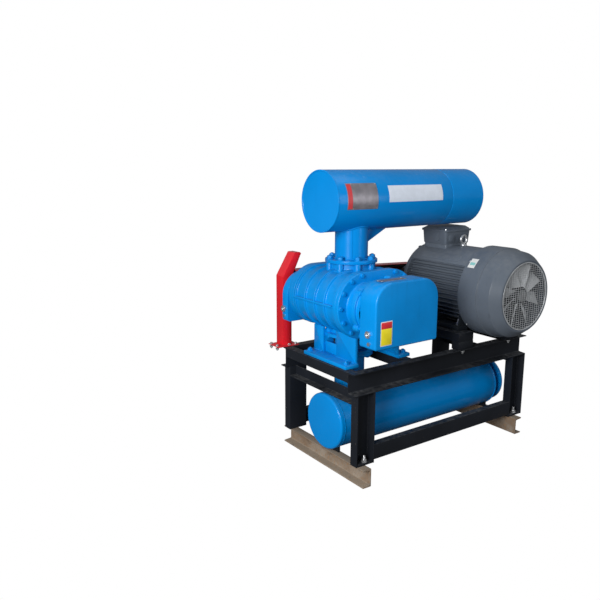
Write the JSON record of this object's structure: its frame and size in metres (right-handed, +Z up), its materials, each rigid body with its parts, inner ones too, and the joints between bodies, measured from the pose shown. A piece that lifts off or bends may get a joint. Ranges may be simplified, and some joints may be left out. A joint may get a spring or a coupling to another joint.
{
  "type": "roots vacuum pump",
  "caption": "Belt-driven three-lobe rotary blower on a steel channel frame, with electric motor, inlet and discharge silencers and belt guard.",
  "frame": {"origin": "on the floor under the middle of the whole machine's footprint", "axes": "+X along the frame from the blower to the motor, +Y across it towards the belt drive, +Z up"},
  "size_m": [1.421, 0.955, 1.6195],
  "materials": {
    "blue_paint": "gloss enamel paint on castings and silencers",
    "black_paint": "satin black paint, dusty on top faces",
    "rusty_steel": "bare rolled steel with brown rust",
    "grey_paint": "light grey machine enamel",
    "red_paint": "gloss red enamel",
    "zinc": "bright zinc-plated fasteners",
    "dark_paint": "dark blue filter casing paint",
    "bare_iron": "machined cast iron",
    "steel": "turned shaft steel",
    "rubber": "belt rubber",
    "brass": "brass fittings",
    "winding": "varnished winding",
    "fan_plastic": "moulded fan"
  },
  "bodies": {
    "frame": {"skids": "rusty_steel", "leg_front_left": "black_paint", "leg_front_right": "black_paint", "leg_back_left": "black_paint", "leg_back_right": "black_paint", "anchor_bolts": "zinc", "front_beam": "black_paint", "back_beam": "black_paint", "end_channels": "black_paint", "mid_channel": "black_paint", "low_ties": "black_paint", "front_side_rail": "black_paint", "back_side_rail": "black_paint", "slide_blocks": "black_paint", "left_motor_slide": "black_paint", "right_motor_slide": "black_paint", "frame_bolts": "zinc", "rotor_casing": "blue_paint", "gear_end_plate": "blue_paint", "gear_cover": "blue_paint", "drive_end_plate": "blue_paint", "drive_end_cover": "blue_paint", "seal_cap": "blue_paint", "shaft_bearings": "steel", "drive_belts": "rubber", "left_blower_foot": "blue_paint", "right_blower_foot": "blue_paint", "plate_bolts": "zinc", "sight_glasses": "brass", "drain_plugs": "brass", "breather": "brass", "inlet_neck": "blue_paint", "inlet_silencer": "blue_paint", "filter_head": "dark_paint", "port_bolts": "zinc", "outlet_pipe": "blue_paint", "discharge_silencer": "blue_paint", "discharge_outlet": "blue_paint", "silencer_saddles": "black_paint", "motor_housing": "grey_paint", "motor_feet": "grey_paint", "end_shields": "grey_paint", "stator_core": "winding", "terminal_box": "grey_paint", "terminal_lid": "grey_paint", "lifting_eye": "zinc", "fan_cowl": "grey_paint", "cowl_grille": "grey_paint", "motor_bolts": "zinc", "guard_cover": "red_paint", "guard_post": "red_paint"},
    "drive_shaft": {"drive_rotor": "bare_iron", "drive_gear": "steel", "blower_pulley": "bare_iron"},
    "driven_shaft": {"driven_rotor": "bare_iron", "driven_gear": "steel"},
    "motor_shaft": {"motor_rotor": "steel", "motor_pulley": "bare_iron", "cooling_fan": "fan_plastic"}
  },
  "joints": [
    {"name": "drive_spin", "type": "hinge", "parent": "frame", "child": "drive_shaft", "pos_m": [-0.5175, 0.0725, 0.93], "axis": [0, 1, 0], "continuous": true},
    {"name": "driven_spin", "type": "hinge", "parent": "frame", "child": "driven_shaft", "pos_m": [-0.3335, 0.0725, 0.93], "axis": [0, 1, 0], "continuous": true},
    {"name": "motor_spin", "type": "hinge", "parent": "frame", "child": "motor_shaft", "pos_m": [0.3695, 0.0725, 0.93], "axis": [0, 1, 0], "continuous": true}
  ],
  "couplings": [
    {"joint": "driven_spin", "follows": "drive_spin", "ratio": -1},
    {"joint": "motor_spin", "follows": "drive_spin", "ratio": 1.5}
  ]
}
